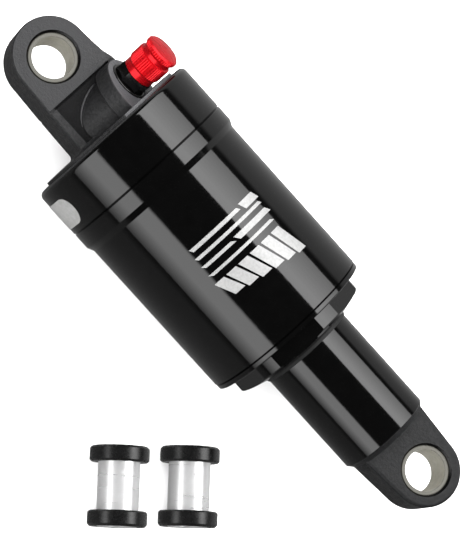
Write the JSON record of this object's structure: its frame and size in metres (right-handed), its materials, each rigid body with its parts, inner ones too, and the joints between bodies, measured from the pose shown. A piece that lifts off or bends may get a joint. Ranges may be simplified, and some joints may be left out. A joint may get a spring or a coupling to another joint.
{
  "type": "bicycle rear shock",
  "caption": "Air-sprung bicycle rear shock with a fat air can, a sliding damper body, two eyelets, a capped air valve and loose mounting hardware.",
  "frame": {"origin": "centre of the upper eye's bore", "axes": "+X along the shock from the upper eye to the lower eye, +Z along the upper eye's bore and up from the surface that the can lies on"},
  "size_m": [0.1888, 0.1097, 0.0572],
  "materials": {
    "eyelet_metal": "fine matte, dark anodised",
    "eyelet_cast_metal": "bead-blasted, dark anodised",
    "liner_polymer": "smooth cream bearing polymer",
    "can_black": "gloss black",
    "body_black": "gloss black hard coat",
    "inner_aluminium": "turned",
    "black_rubber": "smooth",
    "bearing_polymer": "smooth",
    "chromed_steel": "ground and chromed",
    "bright_steel": "ground",
    "valve_black": "gloss black anodised",
    "valve_brass": "turned",
    "red_anodised": "bright red anodised",
    "polished_aluminium": "polished",
    "spacer_black": "satin black anodised"
  },
  "bodies": {
    "can": {"upper_eyelet": "eyelet_metal", "upper_eye_liner": "liner_polymer", "can_head": "can_black", "lock_ring": "inner_aluminium", "head_o_ring": "black_rubber", "air_can": "can_black", "can_o_ring": "black_rubber", "seal_head": "can_black", "seal_head_o_ring": "black_rubber", "guide_bushing": "bearing_polymer", "body_seal": "black_rubber", "wiper_seal": "black_rubber", "damper_rod": "chromed_steel", "damping_piston": "inner_aluminium", "piston_band": "bearing_polymer", "rebound_shims": "bright_steel", "compression_shims": "bright_steel", "piston_nut": "bright_steel", "bottom_out_bumper": "black_rubber", "valve_body": "valve_black", "valve_o_ring": "black_rubber", "valve_core": "valve_brass"},
    "shaft": {"damper_body": "body_black", "lower_eyelet": "eyelet_cast_metal", "lower_eye_liner": "liner_polymer", "air_piston": "inner_aluminium", "air_piston_seal": "black_rubber", "air_piston_band": "bearing_polymer", "top_out_bumper": "black_rubber", "rod_guide": "inner_aluminium", "rod_seal": "black_rubber", "rod_bushing": "bearing_polymer", "damper_top_out_ring": "black_rubber", "charge_screw": "bright_steel"},
    "floating_piston": {"floating_piston": "inner_aluminium", "floating_o_ring": "black_rubber"},
    "valve_pin": {"valve_core_pin": "valve_brass"},
    "cap_seal": {"valve_cap_seal": "black_rubber"},
    "valve_cap": {"valve_cap": "red_anodised"},
    "hardware_a": {"sleeve_a": "polished_aluminium", "spacers_a": "spacer_black"},
    "hardware_b": {"sleeve_b": "polished_aluminium", "spacers_b": "spacer_black"}
  },
  "joints": [
    {"name": "shaft_slide", "type": "slide", "parent": "can", "child": "shaft", "axis": [-1, 0, 0], "range_m": [0, 0.035], "stiffness_N_per_m": 8000, "springref_m": -0.004},
    {"name": "floating_piston_slide", "type": "slide", "parent": "shaft", "child": "floating_piston", "axis": [1, 0, 0], "range_m": [0, 0.0053]},
    {"name": "valve_pin_press", "type": "slide", "parent": "can", "child": "valve_pin", "axis": [0, -0.766, -0.6428], "range_m": [0, 0.0012], "stiffness_N_per_m": 300, "springref_m": -0.001},
    {"name": "cap_lift", "type": "slide", "parent": "can", "child": "cap_seal", "axis": [0, 0.766, 0.6428], "range_m": [0, 0.00873]},
    {"name": "cap_turn", "type": "hinge", "parent": "cap_seal", "child": "valve_cap", "pos_m": [0.02, 0, 0], "axis": [0, 0.766, 0.6428], "range_deg": [0, 3960]},
    {"name": "hardware_a_lift", "type": "slide", "parent": "can", "child": "hardware_a", "axis": [0, 0, 1], "range_m": [0, 0.06]},
    {"name": "hardware_b_lift", "type": "slide", "parent": "can", "child": "hardware_b", "axis": [0, 0, 1], "range_m": [0, 0.06]}
  ],
  "couplings": [
    {"joint": "floating_piston_slide", "follows": "shaft_slide", "ratio": 0.14793},
    {"joint": "cap_turn", "follows": "cap_lift", "rad_per_m": 7913.3}
  ]
}
